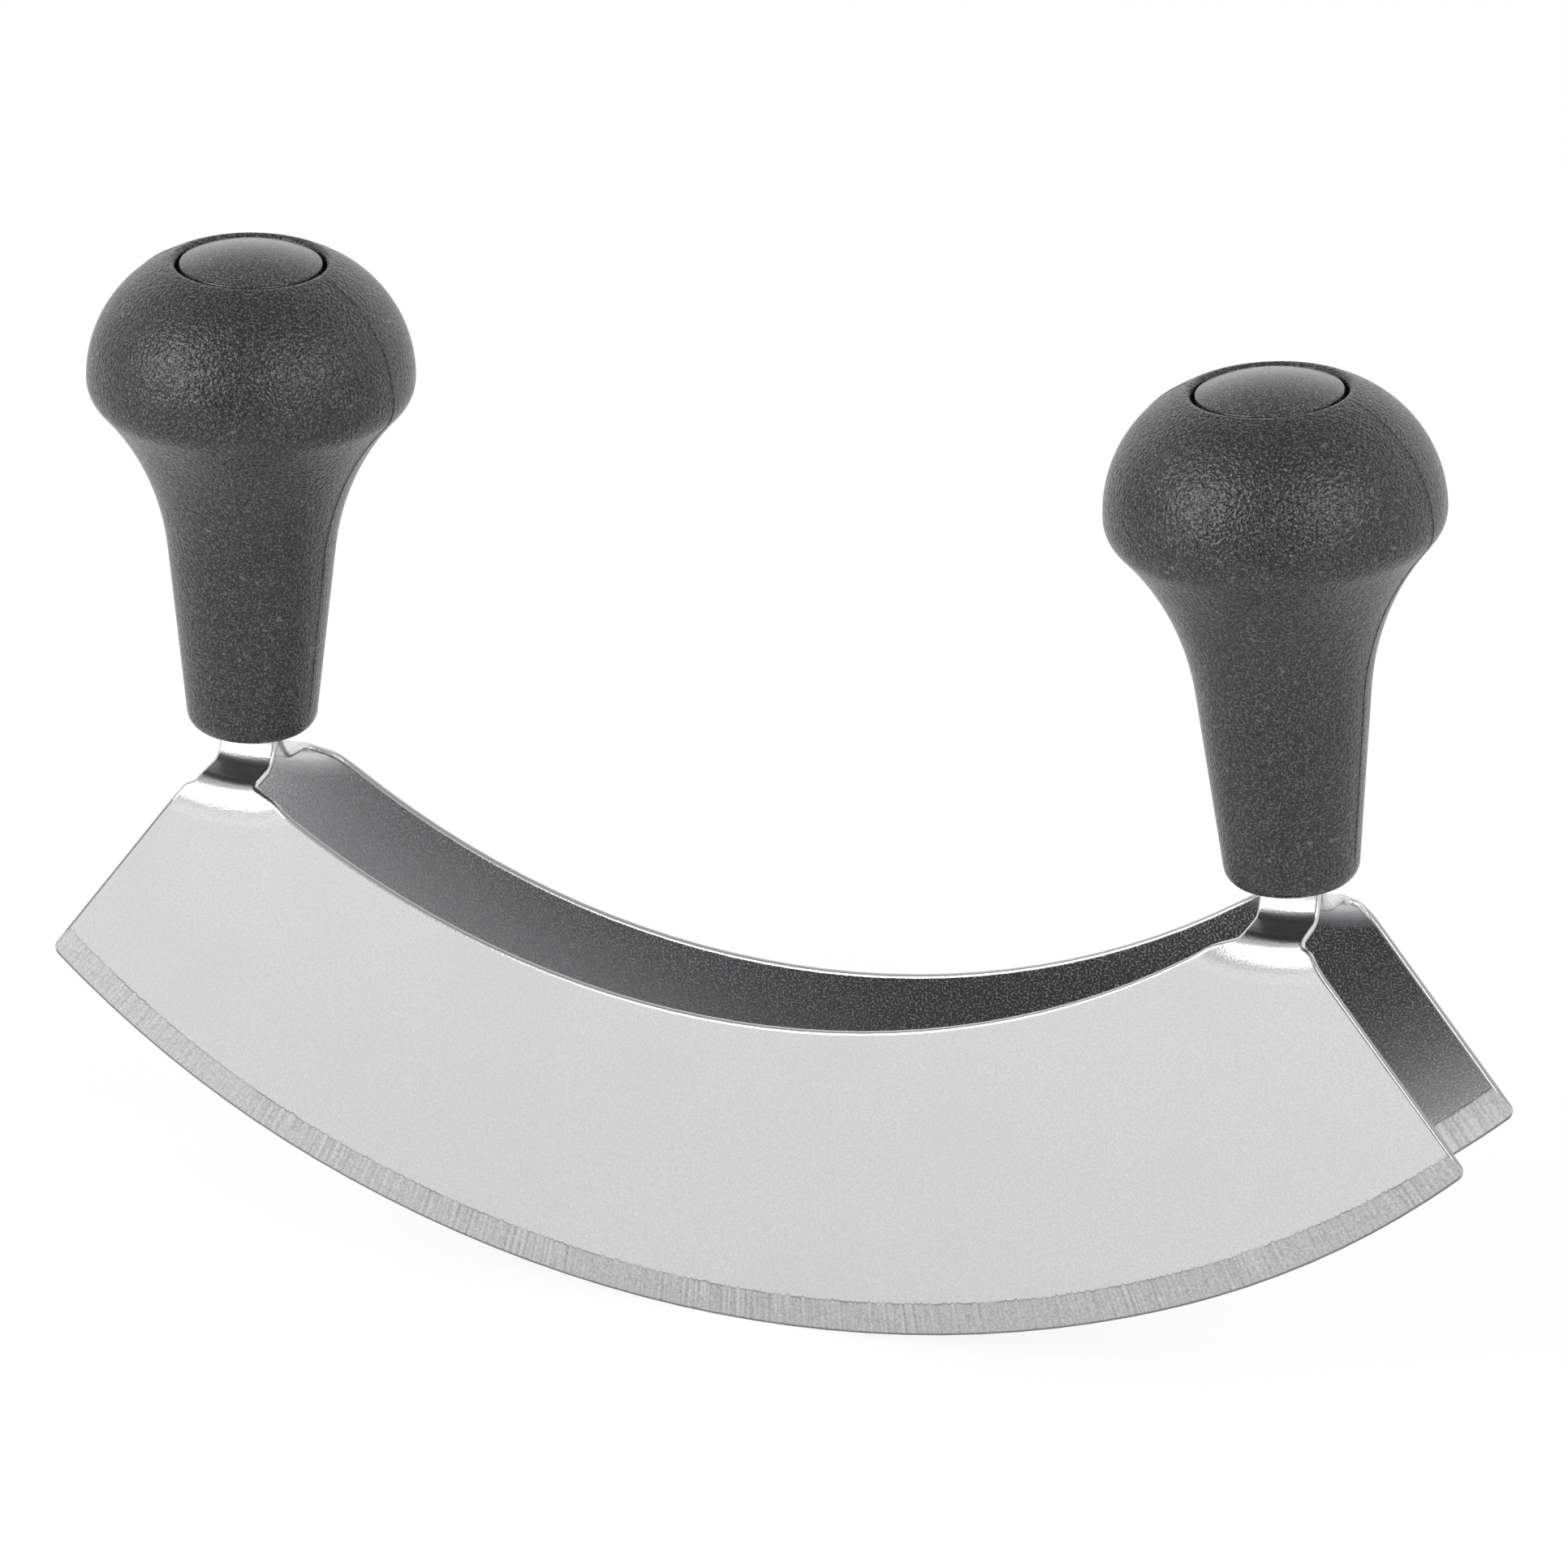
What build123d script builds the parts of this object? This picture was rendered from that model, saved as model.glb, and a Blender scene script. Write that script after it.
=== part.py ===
from build123d import *
import os
from math import acos, cos, degrees, radians, sin, sqrt, tan

# A rocking herb knife with two parallel blades and two knob grips.
# Millimetres. X runs along the blades, Y across them, Z up.
# Z is 0 at the lowest point of the two cutting edges, X and Y are 0 in the middle.

# Blades
BLADE_LENGTH = 178.35  # between the sharp corners of the cutting edge
EDGE_RADIUS = 139.6  # the cutting edge's long middle arc
EDGE_END_LENGTH = 34.2  # along X, the tighter arc at each end of the edge
EDGE_END_RADIUS = 117.0
BLADE_WIDTH = 38.2  # from the edge to the back, in the middle
SHEET = 1.0
SHEET_EDGE_ROUND = 0.4  # tumbled rim
BLADE_SPREAD = 18.1  # across both blades, outside
TIP_ROUND = 1.3
BEVEL_WIDTH = 4.1
BEVEL_RIGHT_WIDTH = 2.95  # the grind runs out narrower at the front blade's right end
EDGE_LAND = 0.12  # thickness left at the cutting edge

# Shoulders and tangs, the same at both ends of a blade
SHOULDER_RISE = 24.2  # from a sharp corner up to where the tang's sides start
SHOULDER_SLOPE = 18.0  # degrees, down and away from the tang
OUTER_SHOULDER_LENGTH = 1.35
INNER_SHOULDER_LENGTH = 3.45
OUTER_SHOULDER_ROUND = 1.6
INNER_SHOULDER_ROUND = 6.0
NECK_ROUND = 0.8
TANG_WIDTH = 7.2
TANG_TOP_ROUND = 1.0
TANG_ABOVE_PIN = 3.6

# The joggle that brings each sheet to the middle plane below a grip
JOGGLE_END = 0.1  # below the grip's mouth, in the middle of the tang
JOGGLE_SLANT = 85.0  # degrees from upright
BEND_CURVE = 30.0  # the bend lines are arcs of this radius, not straight
BEND_EASE = 32.0  # degrees that each bend turns gently, next to the flat sheet, before it tightens
LOWER_EASE = 7.0  # these four on the outer face of the sheet
LOWER_BEND = 2.5
UPPER_EASE = 6.0
UPPER_BEND = 2.0

# Grips
GRIP_INSET = 23.92  # from a sharp corner in to the grip's axis, at its mouth
NECK_LENGTH = 4.8  # from where the tang's sides start up to the mouth
GRIP_LEAN = 2.7  # degrees, towards the middle
MOUTH_RADIUS = 7.5
MOUTH_ROUND = 2.2
STEM_TAPER = 5.85  # degrees
FLARE_RADIUS = 31.8  # hollow curve from the stem to the knob
UNDERSIDE_RADIUS = 4.5
KNOB_RADIUS = 19.1
KNOB_LEVEL = 44.1  # widest circle, above the mouth
DOME_RADIUS = 15.1
RECESS_RADIUS = 8.7
RECESS_DEPTH = 2.6
RIM_ROUND = 0.7
CHAMBER_RADIUS = 7.1
CHAMBER_DEPTH = 16.4  # below the ledge that the cap sits on

# Caps
CAP_GAP = 0.4  # all round, in the recess
CAP_SET = 0.45  # its edge lies this much below the rim
CAP_DOME = 22.0
CAP_EDGE_ROUND = 0.3
SKIRT_WALL = 1.2
SKIRT_LENGTH = 5.0

# Fastening inside each knob
WASHER_RADIUS = 6.6
WASHER_THICKNESS = 1.5
PIN_RADIUS = 1.25
PIN_LENGTH = 11.0

# Fits
SLOT_CLEARANCE = 0.15
PIN_CLEARANCE = 0.05
SKIRT_CLEARANCE = 0.08
OVERRUN = 2.0  # how far a cutter reaches past what it cuts
SAME_PLACE = 0.001  # two places less than this apart are one

# Worked out from the sizes above
half_spread = BLADE_SPREAD / 2
lean = radians(GRIP_LEAN)
slant = radians(JOGGLE_SLANT)
ease = radians(BEND_EASE)

end_start = BLADE_LENGTH / 2 - EDGE_END_LENGTH
end_start_height = EDGE_RADIUS - sqrt(EDGE_RADIUS**2 - end_start**2)
end_share = EDGE_END_RADIUS / EDGE_RADIUS
end_centre_x = end_start * (1 - end_share)
end_centre_z = end_start_height + (EDGE_RADIUS - end_start_height) * end_share
tip_height = end_centre_z - sqrt(EDGE_END_RADIUS**2 - (BLADE_LENGTH / 2 - end_centre_x) ** 2)
shoulder_height = tip_height + SHOULDER_RISE
mouth_height = shoulder_height + NECK_LENGTH
mouth_offset = BLADE_LENGTH / 2 - GRIP_INSET

step = half_spread - SHEET
gentle, tight = LOWER_EASE + UPPER_EASE, LOWER_BEND + UPPER_BEND
slope_length = (step - gentle * (1 - cos(ease)) - tight * (cos(ease) - cos(slant))) / sin(slant)
joggle_height = gentle * sin(ease) + tight * (sin(slant) - sin(ease)) + slope_length * cos(slant)
bend_level = (BEND_CURVE - joggle_height - JOGGLE_END) / cos(lean)

rim_level = KNOB_LEVEL + sqrt(DOME_RADIUS**2 - (RECESS_RADIUS - KNOB_RADIUS + DOME_RADIUS) ** 2)
ledge_level = rim_level - RECESS_DEPTH
floor_level = ledge_level - CHAMBER_DEPTH
pin_level = floor_level + WASHER_THICKNESS + PIN_RADIUS + PIN_CLEARANCE
tang_level = pin_level + TANG_ABOVE_PIN


def on_grip_axis(level):
    """X and Z of a point on the right grip's axis, at a level above the mouth."""
    return mouth_offset - level * sin(lean), mouth_height + level * cos(lean)


def tang_side(side, height):
    """X of the tang's inner (-1) or outer (+1) side at a height."""
    centre = mouth_offset - (height - mouth_height) * tan(lean)
    return centre + side * TANG_WIDTH / 2 / cos(lean)


def half_outline():
    """The right half of one blade as it is stamped, seen from the front."""
    top = on_grip_axis(tang_level)
    across = (TANG_WIDTH / 2 * cos(lean), TANG_WIDTH / 2 * sin(lean))
    slope = radians(SHOULDER_SLOPE)
    bottom, back = (0, 0), (0, BLADE_WIDTH)
    tip = (BLADE_LENGTH / 2, tip_height)
    outer_neck = (tang_side(1, shoulder_height), shoulder_height)
    outer_shoulder = (
        outer_neck[0] + OUTER_SHOULDER_LENGTH * cos(slope),
        shoulder_height - OUTER_SHOULDER_LENGTH * sin(slope),
    )
    outer_top = (top[0] + across[0], top[1] + across[1])
    inner_top = (top[0] - across[0], top[1] - across[1])
    inner_neck = (tang_side(-1, shoulder_height), shoulder_height)
    inner_shoulder = (
        inner_neck[0] - INNER_SHOULDER_LENGTH * cos(slope),
        shoulder_height - INNER_SHOULDER_LENGTH * sin(slope),
    )
    with BuildSketch(Plane.XZ) as sketch:
        with BuildLine():
            RadiusArc(bottom, (end_start, end_start_height), -EDGE_RADIUS)
            RadiusArc((end_start, end_start_height), tip, -EDGE_END_RADIUS)
            Polyline(tip, outer_shoulder, outer_neck, outer_top, inner_top, inner_neck, inner_shoulder)
            TangentArc(back, inner_shoulder, tangent=(1, 0))
            Line(back, bottom)
        make_face()
        for corner, radius in (
            (tip, TIP_ROUND),
            (outer_shoulder, OUTER_SHOULDER_ROUND),
            (outer_neck, NECK_ROUND),
            (outer_top, TANG_TOP_ROUND),
            (inner_top, TANG_TOP_ROUND),
            (inner_neck, NECK_ROUND),
            (inner_shoulder, INNER_SHOULDER_ROUND),
        ):
            fillet(sketch.vertices().sort_by_distance((corner[0], corner[1], 0))[0], radius)
    return sketch.sketch


def bend_arcs(start, side, radii, back):
    """Two arcs along a bend, from its flat end: start, middle and end of the gentle one, then the tight.
    side is +1 for the upper bend and -1 for the lower, back is 0 on the outer face and 1 on the inner."""
    arcs = []
    for radius, turns in zip(radii, ((0, ease / 2, ease), (ease, (ease + slant) / 2, slant))):
        reach = side * radius
        centre = (start[0] - reach * sin(turns[0]), start[1] - reach * cos(turns[0]))
        start = (centre[0] + reach * sin(turns[-1]), centre[1] + reach * cos(turns[-1]))
        reach += back * SHEET
        arcs.append([(centre[0] + reach * sin(turn), centre[1] + reach * cos(turn)) for turn in turns])
    return arcs


def joggled_sheet():
    """Unbounded sheet for the right end of the front blade: half a dished disc, flat above its axis."""
    axis_x, axis_z = on_grip_axis(bend_level)
    reach = BLADE_LENGTH
    upper_start = (axis_x + BEND_CURVE - joggle_height, -SHEET)
    lower_start = (axis_x + BEND_CURVE, -half_spread)
    upper, lower = (UPPER_EASE, UPPER_BEND), (LOWER_EASE, LOWER_BEND)
    outer_upper, inner_upper = (bend_arcs(upper_start, 1, upper, back) for back in (0, 1))
    outer_lower, inner_lower = (bend_arcs(lower_start, -1, lower, back) for back in (0, 1))
    with BuildSketch(Plane.XY.offset(axis_z)) as sketch:
        with BuildLine():
            Line((axis_x, -SHEET), upper_start)
            for arc in outer_upper:
                ThreePointArc(*arc)
            Line(outer_upper[-1][-1], outer_lower[-1][-1])
            for arc in reversed(outer_lower):
                ThreePointArc(*reversed(arc))
            Polyline(
                lower_start,
                (axis_x + reach, -half_spread),
                (axis_x + reach, SHEET - half_spread),
                inner_lower[0][0],
            )
            for arc in inner_lower:
                ThreePointArc(*arc)
            Line(inner_lower[-1][-1], inner_upper[-1][-1])
            for arc in reversed(inner_upper):
                ThreePointArc(*reversed(arc))
            Polyline(inner_upper[0][0], (axis_x, 0), (axis_x, -SHEET))
        make_face()
    bent = revolve(sketch.sketch, Axis((axis_x, 0, axis_z), (0, 1, 0)), 180)
    tang_align = (Align.CENTER, Align.MAX, Align.MIN)
    flat = Pos(axis_x, 0, axis_z) * Box(2 * TANG_WIDTH, SHEET, tang_level, align=tang_align)
    return bent + flat


def rounded_rim(plate):
    """Rounds the rim that the stamp left on both faces of the sheet, but not the bend lines."""

    def is_wall(face):
        drawn = face.geom_type in (GeomType.PLANE, GeomType.CYLINDER)
        return drawn and abs(face.normal_at(face.center()).Y) < SAME_PLACE

    def is_rim(edge):
        middle = edge @ 0.5
        touching = [wall for wall in walls if wall.distance_to(middle) < SAME_PLACE]
        return len(touching) == 1 and abs(middle.X) > SAME_PLACE

    walls = plate.faces().filter_by(is_wall)
    return plate.fillet(SHEET_EDGE_ROUND, plate.edges().filter_by(is_rim))


def ground_ring(radius, width, sweep, face, inward):
    """What the wheel takes off one face: part of a ring about (0, 0), from +X down, deepest at the edge."""
    depth = (SHEET - EDGE_LAND) / 2
    far = OVERRUN / width
    with BuildSketch() as sketch:
        with BuildLine():
            Polyline(
                (radius - width, face),
                (radius + OVERRUN, face + inward * depth * (1 + far)),
                (radius + OVERRUN, face - inward * OVERRUN),
                (radius - width, face - inward * OVERRUN),
                close=True,
            )
        make_face()
    return revolve(sketch.sketch, Axis.Y, sweep)


def pin_hole():
    x, z = on_grip_axis(pin_level)
    cutter = Cylinder(PIN_RADIUS + PIN_CLEARANCE, BLADE_SPREAD, rotation=(90, 0, 0))
    return Pos(x, 0, z) * cutter


def make_blade():
    """The front blade: a flat plate with a joggled tang at each end and an edge ground on both faces."""
    prism = extrude(half_outline(), half_spread, both=True)
    right = rounded_rim(joggled_sheet() & prism)
    right -= pin_hole()
    blade = right + mirror(right, Plane.YZ)
    end_sweep = degrees(acos((end_start - end_centre_x) / EDGE_END_RADIUS))
    end_place = Pos(end_centre_x, 0, end_centre_z)
    for face, inward in ((-half_spread, 1), (SHEET - half_spread, -1)):
        blade -= Pos(0, 0, EDGE_RADIUS) * ground_ring(EDGE_RADIUS, BEVEL_WIDTH, 360, face, inward)
        left_end = end_place * ground_ring(EDGE_END_RADIUS, BEVEL_WIDTH, end_sweep, face, inward)
        right_end = end_place * ground_ring(EDGE_END_RADIUS, BEVEL_RIGHT_WIDTH, end_sweep, face, inward)
        blade -= mirror(left_end, Plane.YZ)
        blade -= right_end
    return blade


def grip_profile():
    """Ends of the arcs along the grip's outside, as (radius, level above the mouth)."""
    taper = radians(STEM_TAPER)
    along, outward = (sin(taper), cos(taper)), (cos(taper), -sin(taper))
    underside = (KNOB_RADIUS - UNDERSIDE_RADIUS, KNOB_LEVEL)
    apart = (
        MOUTH_RADIUS + FLARE_RADIUS * outward[0] - underside[0],
        FLARE_RADIUS * outward[1] - underside[1],
    )
    run = apart[0] * along[0] + apart[1] * along[1]
    between = UNDERSIDE_RADIUS + FLARE_RADIUS
    stem_length = -run - sqrt(run**2 + between**2 - apart[0] ** 2 - apart[1] ** 2)
    stem_end = (MOUTH_RADIUS + stem_length * along[0], stem_length * along[1])
    flare = (stem_end[0] + FLARE_RADIUS * outward[0], stem_end[1] + FLARE_RADIUS * outward[1])
    share = UNDERSIDE_RADIUS / between
    meet = tuple(u + (f - u) * share for u, f in zip(underside, flare))
    return stem_end, meet, (KNOB_RADIUS, KNOB_LEVEL)


def make_grip():
    """The grip, upright on its own axis with its mouth at level 0, open at the top for the cap."""
    stem_end, meet, widest = grip_profile()
    mouth, rim = (MOUTH_RADIUS, 0), (RECESS_RADIUS, rim_level)
    with BuildSketch(Plane.XZ) as section:
        with BuildLine():
            Polyline((0, floor_level), (0, 0), mouth, stem_end)
            RadiusArc(stem_end, meet, FLARE_RADIUS)
            RadiusArc(meet, widest, -UNDERSIDE_RADIUS)
            RadiusArc(widest, rim, -DOME_RADIUS)
            Polyline(
                rim,
                (RECESS_RADIUS, ledge_level),
                (CHAMBER_RADIUS, ledge_level),
                (CHAMBER_RADIUS, floor_level),
                (0, floor_level),
            )
        make_face()
        for corner, radius in ((mouth, MOUTH_ROUND), (rim, RIM_ROUND)):
            fillet(section.vertices().sort_by_distance((corner[0], corner[1], 0))[0], radius)
    grip = revolve(section.sketch, Axis.Z, 360)
    slot_width = TANG_WIDTH + 2 * SLOT_CLEARANCE
    slot_depth = 2 * (SHEET + SLOT_CLEARANCE)
    return grip - Box(slot_width, slot_depth, 2 * floor_level + OVERRUN)


def make_cap():
    """Domed disc with a skirt, in the grip's own upright frame."""
    radius = RECESS_RADIUS - CAP_GAP
    edge = rim_level - CAP_SET
    crown = edge + CAP_DOME - sqrt(CAP_DOME**2 - radius**2)
    skirt = CHAMBER_RADIUS - SKIRT_CLEARANCE
    with BuildSketch(Plane.XZ) as section:
        with BuildLine():
            Polyline(
                (0, crown),
                (0, ledge_level),
                (skirt - SKIRT_WALL, ledge_level),
                (skirt - SKIRT_WALL, ledge_level - SKIRT_LENGTH),
                (skirt, ledge_level - SKIRT_LENGTH),
                (skirt, ledge_level),
                (radius, ledge_level),
                (radius, edge),
            )
            RadiusArc((radius, edge), (0, crown), -CAP_DOME)
        make_face()
        fillet(section.vertices().sort_by_distance((radius, edge, 0))[0], CAP_EDGE_ROUND)
    return revolve(section.sketch, Axis.Z, 360)


def make_washer():
    """Slotted plate on the chamber's floor."""
    plate = Cylinder(WASHER_RADIUS, WASHER_THICKNESS, align=(Align.CENTER, Align.CENTER, Align.MIN))
    slot = Box(TANG_WIDTH + 2 * SLOT_CLEARANCE, 2 * (SHEET + SLOT_CLEARANCE), 2 * WASHER_THICKNESS + OVERRUN)
    return Pos(0, 0, floor_level) * (plate - slot)


def make_pin():
    """Cross pin through both tangs, on the washer."""
    return Pos(0, 0, pin_level) * Cylinder(PIN_RADIUS, PIN_LENGTH, rotation=(90, 0, 0))


def place(piece, side):
    """Sets an upright piece on the right (+1) or left (-1) grip's axis."""
    return Pos(side * mouth_offset, 0, mouth_height) * Rot(0, -side * GRIP_LEAN, 0) * piece


def main():
    os.makedirs("parts", exist_ok=True)
    blade = make_blade()
    pieces = {"front_blade": blade, "rear_blade": Rot(0, 0, 180) * blade}
    makers = {"grip": make_grip, "cap": make_cap, "tang_washer": make_washer, "tang_pin": make_pin}
    for name, maker in makers.items():
        piece = maker()
        pieces["left_" + name] = place(piece, -1)
        pieces["right_" + name] = place(piece, 1)
    for name, shape in pieces.items():
        export_step(shape, "parts/" + name + ".step")


main()
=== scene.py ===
"""A rocking herb knife with two blades and two knob grips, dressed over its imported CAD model."""

from math import cos, radians, sin

import bpy
from bpy.props import FloatProperty, FloatVectorProperty, PointerProperty
from mathutils import Matrix, Vector
from mathutils.bvhtree import BVHTree


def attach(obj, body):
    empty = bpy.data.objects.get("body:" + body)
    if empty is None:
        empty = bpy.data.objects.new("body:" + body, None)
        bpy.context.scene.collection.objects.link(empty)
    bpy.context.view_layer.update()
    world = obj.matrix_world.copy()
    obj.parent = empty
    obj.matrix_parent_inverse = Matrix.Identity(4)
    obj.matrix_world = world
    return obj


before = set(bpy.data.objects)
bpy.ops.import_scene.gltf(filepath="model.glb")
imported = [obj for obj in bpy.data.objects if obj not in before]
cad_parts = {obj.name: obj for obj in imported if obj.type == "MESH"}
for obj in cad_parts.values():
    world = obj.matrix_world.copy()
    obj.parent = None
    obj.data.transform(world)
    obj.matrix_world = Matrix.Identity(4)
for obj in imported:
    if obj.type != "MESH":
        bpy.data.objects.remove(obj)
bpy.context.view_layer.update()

bl_info = {
    "name": "Two-bladed herb knife",
    "version": (1, 0, 0),
    "blender": (4, 5, 0),
    "location": "View3D > Sidebar > Herb knife",
    "description": "Dresses the packed herb knife in tumbled steel and grained plastic",
    "category": "Object",
}

MM = 0.001
BLADES = {"front_blade": 1, "rear_blade": -1}  # the rear one is the front one turned round
SIDES = {"left": -1, "right": 1}

# The cutting edge, as the CAD has it: one long arc, and a tighter arc from END_START to each end
EDGE_RADIUS = 139.6 * MM
END_START = 54.975 * MM
END_RADIUS = 117.0 * MM
END_CENTRE = (8.9 * MM, 0.0, 118.83 * MM)

# The start of the grind, and the painted shade along the cutting edge
WIDTH_CHANGE = 1 * MM  # either side of the middle, from one width to the other
GRIND_BLUR = 0.04 * MM  # either side of the start
LINE_CORE = 0.05 * MM  # the dark line at the start is full up to here, on either side
LINE_FADE = 0.16 * MM  # and gone from here
LINE_BREAKS = 3 * MM  # spacing of the gaps in that line
BURR = 0.2 * MM  # the furthest that a belt mark runs on past the start
EDGE_SHADE_FULL = 0.18 * MM  # the painted shade along the cutting edge is full up to here
EDGE_SHADE_FADE = 0.34 * MM  # and gone from here

# Belt marks
MARK_LEAN = -0.09  # sideways, for each length across the edge
MARK_CHANGE = 0.03  # how little a mark changes on its way across
GRIT = 0.3 * MM  # the spots between the marks
BITE_PATCH = 14 * MM  # spacing of the places where the belt bit harder
PAINTED_GLEAM_START = -88 * MM  # along the blade: the painted reflection is brightest here
PAINTED_GLEAM_END = 5 * MM  # and no longer brighter here

# The rest of the sheet
CLOUD = 16 * MM  # spacing of the clouds in the satin
DIMPLE_DEPTH = 0.03 * MM
TANG_FOOT = 48 * MM  # height above the floor
OUTER = 8 * MM  # the flat faces and their rims lie further out than this
BEND_INNER = 2.2 * MM  # the tangs' bends are polished least inside this
BEND_OUTER = 5.5 * MM  # and most outside this
END_RIM_START = 67 * MM  # sideways: where the rims of the two ends begin
END_RIM_FULL = 72 * MM

# Greys of single places on the steel: clouds in the satin, the line at the start of the grind and the
# painted shade along the cutting edge, the rim
CLOUD_GREY = "c6c6c8"
GRIND_LINE_AND_EDGE_SHADE_GREY = "727273"
RIM_GREY = "939394"

# Plastic and drawn steel
PEBBLE_DEPTH = 0.22 * MM
SCUFF = 0.7 * MM  # spacing of the lines that scuffs are picked from
SCUFF_PATCH = 6 * MM  # spacing of the places that have scuffs
SPECK_SPACING = 4.2 * MM
DRAW_DEPTH = 0.01 * MM

# A grip, and the seam that its mould left
MOUTH = (65.255 * MM, 62.71 * MM)  # sideways and up
LEAN = radians(2.7)
STEM_FOOT = 2.2 * MM  # above the mouth, as the next is
KNOB_LEVEL = 44.1 * MM
STEM_STEPS = 86
KNOB_ANGLES = range(0, 57, 2)  # degrees, from the knob's widest circle to near the cap
OUTSIDE = 50 * MM  # further from the grip's axis than any part of the grip
TAPER_STEPS = 4  # the steps over which a seam sinks away at its ends

# Stage
SOFTBOXES = {"left_softbox": (-35, 1.0, 15.5), "right_softbox": (62, 0.8, 8.8)}  # degrees, metres, watts
SOFTBOX_ELEVATION = 28  # degrees
SOFTBOX_DISTANCE = 1.6
MIDDLE = Vector((0, 0, 60 * MM))
FLOOR_REACH = 6.0
CAMERA_GLOW = 0.88  # the share of the floor that glows, as the camera sees it
METAL_GLOW = 0.3  # and as reflections show it
SENSOR_WIDTH = 36  # millimetres
NEAREST, FURTHEST = 0.05, 50
WHITE = (1.0, 1.0, 1.0, 1.0)


# Colours and nodes


def linear(colour):
    """An sRGB hex colour, such as "d6d6d7", as the linear values that a shader takes."""
    parts = [int(colour[i : i + 2], 16) / 255 for i in (0, 2, 4)]
    return [c / 12.92 if c <= 0.04045 else ((c + 0.055) / 1.055) ** 2.4 for c in parts] + [1.0]


def add(tree, kind, inputs=None, **settings):
    """Adds a node with its settings and links. An input is a value, a socket, or a node, which gives
    its first output in use. A mix has its share at 0, its numbers at 2 and 3 and its colours at 6
    and 7."""
    node = tree.nodes.new("ShaderNode" + kind)
    for name, value in settings.items():
        setattr(node, name, value)
    for key, value in (inputs or {}).items():
        if isinstance(value, bpy.types.Node):
            value = next(socket for socket in value.outputs if socket.enabled)
        if isinstance(value, bpy.types.NodeSocket):
            tree.links.new(value, node.inputs[key])
        else:
            node.inputs[key].default_value = value
    return node


def new_material(name):
    """A material with an empty tree, and the object's own coordinates in metres."""
    material = bpy.data.materials.new(name)
    material.use_nodes = True
    tree = material.node_tree
    tree.nodes.clear()
    return material, tree, add(tree, "TexCoord").outputs["Object"]


def dress(node, material):
    """Gives a CAD node its material."""
    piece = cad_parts[node]
    piece.data.materials.clear()
    piece.data.materials.append(material)


# Settings


def colour_property(name, description, default):
    return FloatVectorProperty(
        name=name,
        description=description,
        subtype="COLOR",
        size=4,
        min=0,
        max=1,
        default=linear(default),
    )


def length_property(name, description, default):
    return FloatProperty(name=name, description=description, default=default, unit="LENGTH", precision=5)


def angle_property(name, description, default):
    return FloatProperty(name=name, description=description, default=radians(default), subtype="ANGLE")


class BladeSettings(bpy.types.PropertyGroup):
    face: colour_property("Face", "Tumbled satin face of the sheet", "d0d0d1")
    face_shade: colour_property("Face shade", "Hollows of the tumbled grain", "c6c6c7")
    ground: colour_property("Ground edge", "Steel left by the grinding belt", "cfcfd0")
    scratch: colour_property("Belt marks", "Deepest marks across the ground edge", "929293")
    grain: length_property("Grain", "Size of the tumbled dimples", 0.26 * MM)
    mark: length_property("Mark spacing", "Distance between the belt's marks", 0.45 * MM)
    width: length_property("Ground width", "Width of the ground edge", 4.1 * MM)
    narrow: length_property("Narrow end", "Width of the ground edge where it runs out", 2.95 * MM)


class GripSettings(bpy.types.PropertyGroup):
    colour: colour_property("Colour", "Moulded plastic", "0c0c0c")
    pale: colour_property("Worn grain", "Tops of the grain", "4c4c4c")
    dust: colour_property("Specks", "Dust and scuffs caught in the grain", "7d7d7d")
    grain: length_property("Grain", "Size of the spark-eroded grain", 0.42 * MM)
    seam_width: length_property("Seam width", "Width of the bead where the mould halves met", 0.24 * MM)
    seam_height: length_property("Seam height", "How far that bead stands out", 0.07 * MM)
    seam_turn: angle_property(
        "Seam turn", "The seam's way round the grip, from the plane between the blades", -4.5
    )


class CapSettings(bpy.types.PropertyGroup):
    colour: colour_property("Colour", "Moulded plastic", "1d1d1d")
    pale: colour_property("Worn grain", "Tops of the grain", "606060")
    dust: colour_property("Specks", "Dust on the cap", "5b5b5b")
    grain: length_property("Grain", "Size of the fine grain", 0.4 * MM)


class FasteningSettings(bpy.types.PropertyGroup):
    colour: colour_property("Colour", "Plain drawn steel", "bcbcbd")
    shade: colour_property("Draw lines", "Steel in the draw lines", "a6a6a7")
    draw_line: length_property("Line spacing", "Distance between the lines of the drawing die", 0.15 * MM)


class StageSettings(bpy.types.PropertyGroup):
    floor: colour_property("Floor", "Pale matt floor", "fafafa")
    azimuth: angle_property("Azimuth", "The camera's way round the knife", 23.848)
    elevation: angle_property("Elevation", "The camera's angle above the floor", 22.857)
    roll: angle_property("Roll", "The camera's turn about its own axis", -1.349)
    distance: length_property("Distance", "From the camera to the point it looks at", 1021.32 * MM)
    aim_right: length_property("Aim right", "How far right of the origin it looks", 1.431 * MM)
    aim_up: length_property("Aim up", "How far above the origin it looks", 59.486 * MM)
    lens: FloatProperty(
        name="Lens",
        description="The camera's focal length",
        default=198.767,
        min=1,
        unit="CAMERA",
    )


# Materials


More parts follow.
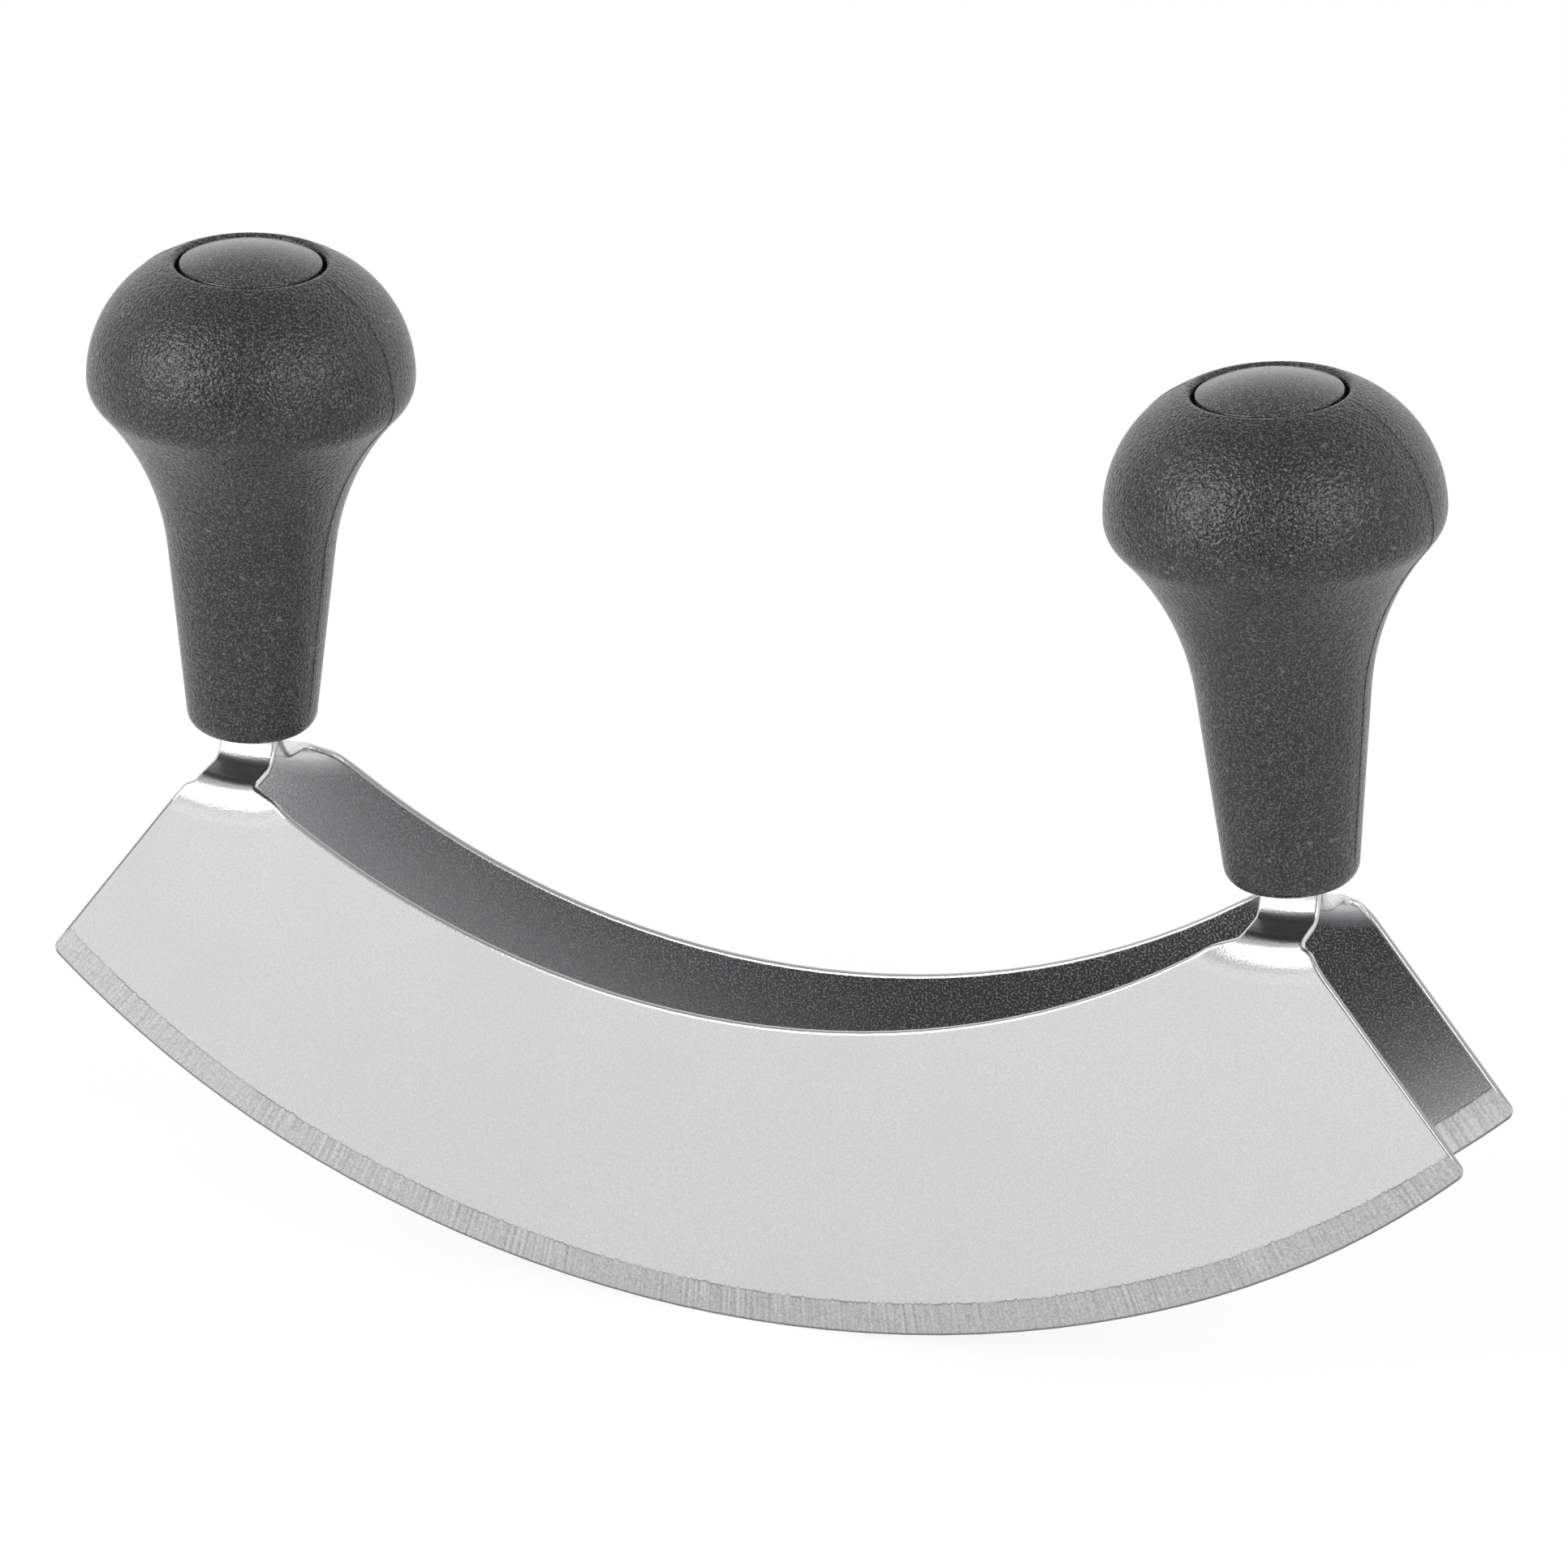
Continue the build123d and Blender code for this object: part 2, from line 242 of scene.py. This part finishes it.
def tumbled_steel(name, turned, settings):
    """Stainless sheet, tumbled after pressing, with a cutting edge ground across on a belt: an even
    satin that shows soft grey reflections, over a duller, streaked edge."""
    material, tree, place = new_material(name)
    x, y, z = add(tree, "SeparateXYZ", {0: place}).outputs

    # Rise from the cutting edge, and past the start of the grind, which is narrower at one end
    sideways = add(tree, "Math", {0: x}, operation="ABSOLUTE")
    flat = add(tree, "CombineXYZ", {0: sideways, 2: z})
    rise = add(tree, "VectorMath", {0: flat, 1: (0.0, 0.0, EDGE_RADIUS)}, operation="DISTANCE")
    rise = add(tree, "Math", {0: EDGE_RADIUS, 1: rise}, operation="SUBTRACT")
    end_rise = add(tree, "VectorMath", {0: flat, 1: END_CENTRE}, operation="DISTANCE")
    end_rise = add(tree, "Math", {0: END_RADIUS, 1: end_rise}, operation="SUBTRACT")
    at_end = add(tree, "Math", {0: sideways, 1: END_START}, operation="GREATER_THAN")
    end_rise = add(tree, "Mix", {0: at_end, 2: 1.0, 3: end_rise})
    side = add(tree, "Math", {0: x, 1: float(turned)}, operation="MULTIPLY")
    middle = {"From Min": -WIDTH_CHANGE, "From Max": WIDTH_CHANGE}
    widths = {"To Min": settings.width, "To Max": settings.narrow}
    width = add(tree, "MapRange", {"Value": side} | middle | widths)
    past = add(tree, "Math", {0: rise, 1: settings.width}, operation="SUBTRACT")
    end_past = add(tree, "Math", {0: end_rise, 1: width}, operation="SUBTRACT")
    past = add(tree, "Math", {0: past, 1: end_past}, operation="MINIMUM")
    rise = add(tree, "Math", {0: rise, 1: end_rise}, operation="MINIMUM")

    # Belt marks: faint lines straight across the edge, over grit, on steel with a painted brighter
    # reflection towards one end. The real ones are some 0.05 mm apart, too fine to show, so they are drawn
    # coarser
    below = add(tree, "Math", {0: EDGE_RADIUS, 1: z}, operation="SUBTRACT")
    angle = add(tree, "Math", {0: x, 1: below}, operation="ARCTAN2")
    along = add(tree, "Math", {0: angle, 1: EDGE_RADIUS}, operation="MULTIPLY")
    leaning = add(tree, "Math", {0: past, 1: MARK_LEAN, 2: along}, operation="MULTIPLY_ADD")
    across = add(tree, "Math", {0: past, 1: MARK_CHANGE, 2: float(turned)}, operation="MULTIPLY_ADD")
    strip = add(tree, "CombineXYZ", {0: leaning, 1: across})
    noise = {"Vector": strip, "Scale": 1 / settings.mark, "Detail": 1.0, "Roughness": 0.6}
    marks = add(tree, "TexNoise", noise, noise_dimensions="2D")
    grit = add(tree, "TexNoise", {"Vector": place, "Scale": 1 / GRIT, "Detail": 1.0})
    strength = add(tree, "TexNoise", {"Vector": strip, "Scale": 1 / BITE_PATCH}, noise_dimensions="2D")
    levels = {"From Min": 0.35, "From Max": 0.6, "To Min": 0.5, "To Max": 1.2}
    strength = add(tree, "MapRange", {"Value": strength} | levels)
    centred = add(tree, "Math", {0: marks, 1: 0.5}, operation="SUBTRACT")
    marked = add(tree, "Math", {0: centred, 1: strength}, operation="MULTIPLY")
    gritty = add(tree, "Math", {0: grit, 1: 1.1, 2: marked}, operation="MULTIPLY_ADD")
    # Painted reflection: the ground edge is lightened towards one end, for the lit floor it reflects there
    levels = {"From Min": PAINTED_GLEAM_START, "From Max": PAINTED_GLEAM_END, "To Min": 0.24, "To Max": -0.02}
    painted_gleam = add(tree, "MapRange", {"Value": side} | levels)
    bite = add(tree, "Math", {0: gritty, 1: painted_gleam}, operation="ADD")
    bite = add(tree, "MapRange", {"Value": bite, "From Min": 1.05, "From Max": 0.05})
    colours = {6: list(settings.ground), 7: list(settings.scratch)}
    belt = add(tree, "Mix", {0: bite} | colours, data_type="RGBA")

    # The grind starts in a thin broken line, some of the marks run on past it, and it ends in a
    # dark line of painted shade along the cutting edge, which stands in for the edge's shade
    burr = add(tree, "MapRange", {"Value": marks, "From Min": 0.5, "From Max": 0.72, "To Max": BURR})
    beyond = add(tree, "Math", {0: past, 1: burr}, operation="SUBTRACT")
    levels = {"From Min": -GRIND_BLUR, "From Max": GRIND_BLUR, "To Min": 1.0, "To Max": 0.0}
    ground = add(tree, "MapRange", {"Value": beyond} | levels)
    broken = add(tree, "TexNoise", {"Vector": strip, "Scale": 1 / LINE_BREAKS, "Detail": 3.0})
    levels = {"From Min": 0.38, "From Max": 0.6, "To Min": 0.25, "To Max": 0.7}
    broken = add(tree, "MapRange", {"Value": broken} | levels)
    aside = add(tree, "Math", {0: beyond}, operation="ABSOLUTE")
    levels = {"From Min": LINE_CORE, "From Max": LINE_FADE, "To Min": 1.0, "To Max": 0.0}
    line = add(tree, "MapRange", {"Value": aside} | levels)
    line = add(tree, "Math", {0: line, 1: broken}, operation="MULTIPLY")
    # Painted shade: the colour darkens in a thin line along the cutting edge
    painted_edge_shade = add(tree, "MapRange", {"Value": rise, "From Min": EDGE_SHADE_FADE, "From Max": EDGE_SHADE_FULL, "To Max": 0.9})
    line = add(tree, "Math", {0: line, 1: painted_edge_shade}, operation="MAXIMUM")

    # Tumbled satin: dimples too fine to show at their real 0.05 mm, so drawn coarser, and soft clouds
    grain = add(tree, "TexNoise", {"Vector": place, "Scale": 1 / settings.grain, "Detail": 1.0})
    cloud = add(tree, "TexNoise", {"Vector": place, "Scale": 1 / CLOUD, "Detail": 2.0})
    dull = add(tree, "MapRange", {"Value": grain, "From Min": 0.36, "From Max": 0.64})
    colours = {6: list(settings.face), 7: list(settings.face_shade)}
    satin = add(tree, "Mix", {0: dull} | colours, data_type="RGBA")
    clouded = add(tree, "MapRange", {"Value": cloud, "From Min": 0.45, "From Max": 0.7, "To Max": 0.35})
    satin = add(tree, "Mix", {0: clouded, 6: satin, 7: linear(CLOUD_GREY)}, data_type="RGBA")
    colour = add(tree, "Mix", {0: ground, 6: satin, 7: belt}, data_type="RGBA")
    colour = add(tree, "Mix", {0: line, 6: colour, 7: linear(GRIND_LINE_AND_EDGE_SHADE_GREY)}, data_type="RGBA")

    # Tumbling polishes whatever stands proud, such as the rim and the outer bends of the tangs, but
    # reaches the hollow bends less. Its deepest dimples stay rough, so they glint in dark reflections
    endways, facing, _ = add(tree, "SeparateXYZ", {0: add(tree, "TexCoord").outputs["Normal"]}).outputs
    endways = add(tree, "Math", {0: endways}, operation="ABSOLUTE")
    facing = add(tree, "Math", {0: facing}, operation="ABSOLUTE")
    depth = add(tree, "Math", {0: y}, operation="ABSOLUTE")
    levels = {"From Min": 0.5, "From Max": 0.67, "To Min": 0.16, "To Max": 0.48}
    satin_rough = add(tree, "MapRange", {"Value": grain} | levels)
    levels = {"From Min": 0.3, "From Max": 0.7, "To Min": 0.36, "To Max": 0.3}
    belt_rough = add(tree, "MapRange", {"Value": grit} | levels)
    rough = add(tree, "Mix", {0: ground, 2: satin_rough, 3: belt_rough})
    polished = add(tree, "MapRange", {"Value": facing, "From Min": 0.98, "From Max": 0.93})
    bending = add(tree, "MapRange", {"Value": facing, "From Min": 0.9996, "From Max": 0.992})
    on_tang = add(tree, "Math", {0: z, 1: TANG_FOOT}, operation="GREATER_THAN")
    bending = add(tree, "Math", {0: bending, 1: on_tang}, operation="MULTIPLY")
    polished = add(tree, "Math", {0: polished, 1: bending}, operation="MAXIMUM")
    levels = {"From Min": BEND_INNER, "From Max": BEND_OUTER, "To Min": 0.33, "To Max": 0.26}
    bend_rough = add(tree, "MapRange", {"Value": depth} | levels)
    rough = add(tree, "Mix", {0: polished, 2: rough, 3: bend_rough})

    # The rim is greyer than the faces, and at the two ends so are its rounded corners
    rim = add(tree, "MapRange", {"Value": facing, "From Min": 0.8, "From Max": 0.5, "To Max": 0.7})
    levels = {"From Min": END_RIM_START, "From Max": END_RIM_FULL, "To Max": 0.95}
    at_tip = add(tree, "MapRange", {"Value": sideways} | levels)
    end_rim = add(tree, "MapRange", {"Value": endways, "From Min": 0.1, "From Max": 0.35, "To Max": at_tip})
    rim = add(tree, "Math", {0: rim, 1: end_rim}, operation="MAXIMUM")
    outer = add(tree, "Math", {0: depth, 1: OUTER}, operation="GREATER_THAN")
    rim = add(tree, "Math", {0: rim, 1: outer}, operation="MULTIPLY")
    colour = add(tree, "Mix", {0: rim, 6: colour, 7: linear(RIM_GREY)}, data_type="RGBA")

    height = add(tree, "Mix", {0: ground, 2: grain, 3: gritty})
    bump = add(tree, "Bump", {"Strength": 0.6, "Distance": DIMPLE_DEPTH, "Height": height})
    surface = {"Base Color": colour, "Metallic": 1.0, "Roughness": rough, "Normal": bump}
    add(tree, "OutputMaterial", {0: add(tree, "BsdfPrincipled", surface)})
    return material


def grained_plastic(name, settings, rough, relief):
    """Polypropylene, moulded in a spark-eroded steel mould: near black, dull, with a fine pebbled grain
    that breaks up the soft lights, and a few pale specks and scuffs."""
    material, tree, place = new_material(name)

    # Grain of 0.1 mm, too fine to show, so drawn four times as coarse: pebbles that catch the lamps,
    # with paler tops
    noise = {"Vector": place, "Scale": 1 / settings.grain, "Detail": 1.0, "Roughness": 0.4}
    grain = add(tree, "TexNoise", noise)
    tops = add(tree, "TexNoise", {"Vector": place, "Scale": 1.8 / settings.grain, "Detail": 1.0})
    tops = add(tree, "MapRange", {"Value": tops, "From Min": 0.49, "From Max": 0.68})
    colours = {6: list(settings.colour), 7: list(settings.pale)}
    colour = add(tree, "Mix", {0: tops} | colours, data_type="RGBA")

    # Scuffs: faint straight lines some millimetres long, where a coarser noise lets them show
    stretch = {"Vector": place, "Rotation": (0.9, 0.6, 0.3), "Scale": (1.0, 0.02, 1.0)}
    stretched = add(tree, "Mapping", stretch)
    scuff = add(tree, "TexNoise", {"Vector": stretched, "Scale": 1 / SCUFF, "Detail": 0.0})
    scuff = add(tree, "MapRange", {"Value": scuff, "From Min": 0.74, "From Max": 0.8, "To Max": 0.3})
    patch = add(tree, "TexNoise", {"Vector": place, "Scale": 1 / SCUFF_PATCH, "Detail": 1.0})
    patch = add(tree, "MapRange", {"Value": patch, "From Min": 0.5, "From Max": 0.62})
    scuff = add(tree, "Math", {0: scuff, 1: patch}, operation="MULTIPLY")

    # Specks of dust, a fifth of a millimetre across and some millimetres apart
    speck = add(tree, "TexVoronoi", {"Vector": place, "Scale": 1 / SPECK_SPACING})
    levels = {"From Min": 0.02, "From Max": 0.05, "To Min": 0.7, "To Max": 0.0}
    speck = add(tree, "MapRange", {"Value": speck} | levels)
    pale = add(tree, "Math", {0: speck, 1: scuff}, operation="MAXIMUM")
    colour = add(tree, "Mix", {0: pale, 6: colour, 7: list(settings.dust)}, data_type="RGBA")

    levels = {"From Min": 0.3, "From Max": 0.7, "To Min": rough + 0.06, "To Max": rough - 0.06}
    dullness = add(tree, "MapRange", {"Value": grain} | levels)
    bump = add(tree, "Bump", {"Strength": relief, "Distance": PEBBLE_DEPTH, "Height": grain})
    surface = {"Base Color": colour, "Roughness": dullness, "IOR": 1.49, "Normal": bump}
    add(tree, "OutputMaterial", {0: add(tree, "BsdfPrincipled", surface)})
    return material


def drawn_steel(name, settings):
    """Steel wire and strip, drawn through a die: mid grey, with faint lines."""
    material, tree, place = new_material(name)
    lines = add(tree, "TexNoise", {"Vector": place, "Scale": 1 / settings.draw_line, "Detail": 2.0})
    shade = add(tree, "MapRange", {"Value": lines, "From Min": 0.3, "From Max": 0.7})
    colours = {6: list(settings.colour), 7: list(settings.shade)}
    colour = add(tree, "Mix", {0: shade} | colours, data_type="RGBA")
    levels = {"From Min": 0.3, "From Max": 0.7, "To Min": 0.35, "To Max": 0.5}
    rough = add(tree, "MapRange", {"Value": lines} | levels)
    bump = add(tree, "Bump", {"Strength": 0.2, "Distance": DRAW_DEPTH, "Height": lines})
    surface = {"Base Color": colour, "Metallic": 1.0, "Roughness": rough, "Normal": bump}
    add(tree, "OutputMaterial", {0: add(tree, "BsdfPrincipled", surface)})
    return material


# Pieces


class HERBKNIFE_OT_blades(bpy.types.Operator):
    """Tumbled and ground steel for the two blades"""

    bl_idname = "herbknife.blades"
    bl_label = "Blades"

    def execute(self, context):
        settings = context.scene.herbknife_blades
        for node, turned in BLADES.items():
            dress(node, tumbled_steel("stainless_steel_tumbled_" + node, turned, settings))
        return {"FINISHED"}


def seam_line(tree, side, outward):
    """Points on a grip, with the way out of its surface, where its mould's halves met: up the stem and
    on over the knob to the rim round the cap."""
    axis = Vector((-side * sin(LEAN), 0, cos(LEAN)))
    mouth = Vector((side * MOUTH[0], 0, MOUTH[1]))
    outward = (outward - axis * outward.dot(axis)).normalized()
    climb = KNOB_LEVEL - STEM_FOOT
    rays = [(STEM_FOOT + climb * i / STEM_STEPS, 0.0) for i in range(STEM_STEPS)]
    rays += [(KNOB_LEVEL, radians(angle)) for angle in KNOB_ANGLES]
    points = []
    for level, rise in rays:
        centre = mouth + axis * level
        way = outward * cos(rise) + axis * sin(rise)
        spot, normal, _, _ = tree.ray_cast(centre + way * OUTSIDE, -way)
        if spot is None:
            raise RuntimeError("A seam found no grip to lie on")
        points.append((spot, normal))
    return points


def seam_mesh(name, lines, width, height):
    """Low beads with a ridge, each along one line of points, with their feet sunk into the surface."""
    vertices, faces = [], []
    for points, across in lines:
        first = len(vertices)
        last = len(points) - 1
        for i, (spot, normal) in enumerate(points):
            ridge = height * min(1.0, i / TAPER_STEPS, (last - i) / TAPER_STEPS)
            foot = spot - normal * height
            vertices += [foot - across * width / 2, spot + normal * ridge, foot + across * width / 2]
        for i in range(last):
            a, b = first + 3 * i, first + 3 * (i + 1)
            faces += [(a + k, a + (k + 1) % 3, b + (k + 1) % 3, b + k) for k in range(3)]
        end = first + 3 * last
        faces += [(first + 2, first + 1, first), (end, end + 1, end + 2)]
    mesh = bpy.data.meshes.new(name)
    mesh.from_pydata(vertices, [], faces)
    mesh.update()
    return mesh


class HERBKNIFE_OT_grips(bpy.types.Operator):
    """Grained plastic for the grips, and the seams that their moulds left"""

    bl_idname = "herbknife.grips"
    bl_label = "Grips"

    def execute(self, context):
        settings = context.scene.herbknife_grips
        plastic = grained_plastic("polypropylene_spark_eroded", settings, rough=0.28, relief=1.0)
        turn = settings.seam_turn
        way = Vector((cos(turn), sin(turn), 0))
        across = Vector((-sin(turn), cos(turn), 0))
        for name, side in SIDES.items():
            dress(name + "_grip", plastic)
            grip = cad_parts[name + "_grip"].data
            corners = [vertex.co for vertex in grip.vertices]
            tree = BVHTree.FromPolygons(corners, [tuple(face.vertices) for face in grip.polygons])
            lines = [(seam_line(tree, side, out), across) for out in (way, -way)]
            mesh = seam_mesh(name + "_grip_seam", lines, settings.seam_width, settings.seam_height)
            mesh.materials.append(plastic)
            seam = bpy.data.objects.new(name + "_grip_seam", mesh)
            context.scene.collection.objects.link(seam)
            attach(seam, "root")
        return {"FINISHED"}


class HERBKNIFE_OT_caps(bpy.types.Operator):
    """Smoother plastic for the caps in the knobs"""

    bl_idname = "herbknife.caps"
    bl_label = "Caps"

    def execute(self, context):
        settings = context.scene.herbknife_caps
        plastic = grained_plastic("polypropylene_fine", settings, rough=0.2, relief=0.1)
        for side in SIDES:
            dress(side + "_cap", plastic)
        return {"FINISHED"}


class HERBKNIFE_OT_fastenings(bpy.types.Operator):
    """Plain steel for the washers and pins inside the knobs"""

    bl_idname = "herbknife.fastenings"
    bl_label = "Fastenings"

    def execute(self, context):
        steel = drawn_steel("steel_drawn", context.scene.herbknife_fastenings)
        for side in SIDES:
            dress(side + "_tang_washer", steel)
            dress(side + "_tang_pin", steel)
        return {"FINISHED"}


# Stage


def direction(azimuth, elevation):
    """The way from the knife to a place round it and above it, with angles in radians."""
    out = cos(elevation)
    return Vector((sin(azimuth) * out, -cos(azimuth) * out, sin(elevation)))


def floor_material(settings):
    """Matt white board: it glows to the camera and a little in reflections, and keeps a soft shadow."""
    material, tree, _ = new_material("board_matt_white")
    path = add(tree, "LightPath").outputs
    for_camera = add(tree, "Math", {0: path["Is Camera Ray"], 1: CAMERA_GLOW}, operation="MULTIPLY")
    for_metal = add(tree, "Math", {0: path["Is Glossy Ray"], 1: METAL_GLOW}, operation="MULTIPLY")
    share = add(tree, "Math", {0: for_camera, 1: for_metal}, operation="MAXIMUM")
    board = add(tree, "BsdfDiffuse", {"Color": list(settings.floor)})
    glow = add(tree, "Emission", {"Color": WHITE, "Strength": 1.0})
    add(tree, "OutputMaterial", {0: add(tree, "MixShader", {0: share, 1: board, 2: glow})})
    return material


def studio_world():
    """White all round, brighter behind and dimmer low in front, with a grey gap on the camera's side,
    and plain white where the camera looks past it."""
    world = bpy.data.worlds.new("studio")
    world.use_nodes = True
    tree = world.node_tree
    tree.nodes.clear()
    soft = {"interpolation_type": "SMOOTHSTEP"}
    way = add(tree, "TexCoord").outputs["Generated"]
    _, depth, height = add(tree, "SeparateXYZ", {0: way}).outputs
    levels = {"From Min": 0.02, "From Max": 0.22, "To Min": 0.4, "To Max": 0.9}
    front = add(tree, "MapRange", {"Value": height} | levels, **soft)
    levels = {"From Min": -0.2, "From Max": 0.6, "To Min": front, "To Max": 1.25}
    low = add(tree, "MapRange", {"Value": depth} | levels, **soft)
    levels = {"From Min": 0.4, "From Max": 0.85, "To Min": low, "To Max": 0.7}
    level = add(tree, "MapRange", {"Value": height} | levels, **soft)
    gap = add(tree, "VectorMath", {0: way, 1: (0.25, -0.93, 0.25)}, operation="DOT_PRODUCT")
    nearness = {"Value": gap.outputs["Value"], "From Min": 0.8, "From Max": 0.93}
    level = add(tree, "Mix", {0: add(tree, "MapRange", nearness, **soft), 2: level, 3: 0.45})
    camera = add(tree, "LightPath").outputs["Is Camera Ray"]
    strength = add(tree, "Math", {0: camera, 1: level}, operation="MAXIMUM")
    add(tree, "OutputWorld", {0: add(tree, "Background", {"Color": WHITE, "Strength": strength})})
    return world


def softbox(name, azimuth, width, power):
    """A square soft lamp that points at the middle of the knife."""
    data = bpy.data.lights.new(name, "AREA")
    data.shape = "SQUARE"
    data.size = width
    data.energy = power
    lamp = bpy.data.objects.new(name, data)
    way = direction(radians(azimuth), radians(SOFTBOX_ELEVATION))
    lamp.location = MIDDLE + way * SOFTBOX_DISTANCE
    lamp.rotation_mode = "QUATERNION"
    lamp.rotation_quaternion = way.to_track_quat("Z", "Y")
    bpy.context.scene.collection.objects.link(lamp)


def lay_floor(scene, settings):
    """A flat floor that reaches past everything the camera sees."""
    mesh = bpy.data.meshes.new("floor")
    signs = ((-1, -1), (1, -1), (1, 1), (-1, 1))
    corners = [(FLOOR_REACH * across, FLOOR_REACH * deep, 0) for across, deep in signs]
    mesh.from_pydata(corners, [], [(0, 1, 2, 3)])
    mesh.materials.append(floor_material(settings))
    floor = bpy.data.objects.new("floor", mesh)
    scene.collection.objects.link(floor)


def set_camera(scene, settings):
    """The camera, where the photograph was taken from."""
    azimuth, turn = settings.azimuth, settings.roll
    back = direction(azimuth, settings.elevation)
    level = Vector((cos(azimuth), sin(azimuth), 0))
    upright = back.cross(level)
    right = cos(turn) * level + sin(turn) * upright
    up = cos(turn) * upright - sin(turn) * level
    eye = back * settings.distance + right * settings.aim_right + up * settings.aim_up
    data = bpy.data.cameras.new("camera")
    data.lens = settings.lens
    data.sensor_width = SENSOR_WIDTH
    data.clip_start, data.clip_end = NEAREST, FURTHEST
    camera = bpy.data.objects.new("camera", data)
    camera.matrix_world = Matrix.Translation(eye) @ Matrix((right, up, back)).transposed().to_4x4()
    scene.collection.objects.link(camera)
    scene.camera = camera


class HERBKNIFE_OT_stage(bpy.types.Operator):
    """Floor, soft light and the camera"""

    bl_idname = "herbknife.stage"
    bl_label = "Stage"

    def execute(self, context):
        settings = context.scene.herbknife_stage
        lay_floor(context.scene, settings)
        context.scene.world = studio_world()
        for name, (azimuth, width, power) in SOFTBOXES.items():
            softbox(name, azimuth, width, power)
        set_camera(context.scene, settings)
        context.scene.view_settings.view_transform = "Standard"
        return {"FINISHED"}


class HERBKNIFE_PT_panel(bpy.types.Panel):
    """The pieces and the stage, each with its settings"""

    bl_idname = "HERBKNIFE_PT_panel"
    bl_label = "Herb knife"
    bl_space_type = "VIEW_3D"
    bl_region_type = "UI"
    bl_category = "Herb knife"

    def draw(self, context):
        for operator, group in zip(OPERATORS, GROUPS):
            box = self.layout.box()
            box.operator(operator.bl_idname)
            settings = getattr(context.scene, group)
            for name in settings.bl_rna.properties.keys():
                if name not in ("rna_type", "name"):
                    box.prop(settings, name)


GROUPS = {
    "herbknife_blades": BladeSettings,
    "herbknife_grips": GripSettings,
    "herbknife_caps": CapSettings,
    "herbknife_fastenings": FasteningSettings,
    "herbknife_stage": StageSettings,
}
OPERATORS = (
    HERBKNIFE_OT_blades,
    HERBKNIFE_OT_grips,
    HERBKNIFE_OT_caps,
    HERBKNIFE_OT_fastenings,
    HERBKNIFE_OT_stage,
)


def register():
    for cls in (*GROUPS.values(), *OPERATORS, HERBKNIFE_PT_panel):
        bpy.utils.register_class(cls)
    for name, cls in GROUPS.items():
        setattr(bpy.types.Scene, name, PointerProperty(type=cls))


def unregister():
    for name in GROUPS:
        delattr(bpy.types.Scene, name)
    for cls in reversed((*GROUPS.values(), *OPERATORS, HERBKNIFE_PT_panel)):
        bpy.utils.unregister_class(cls)


def main():
    register()
    for operator in OPERATORS:
        group, name = operator.bl_idname.split(".")
        getattr(getattr(bpy.ops, group), name)()


if __name__ == "__main__":
    main()
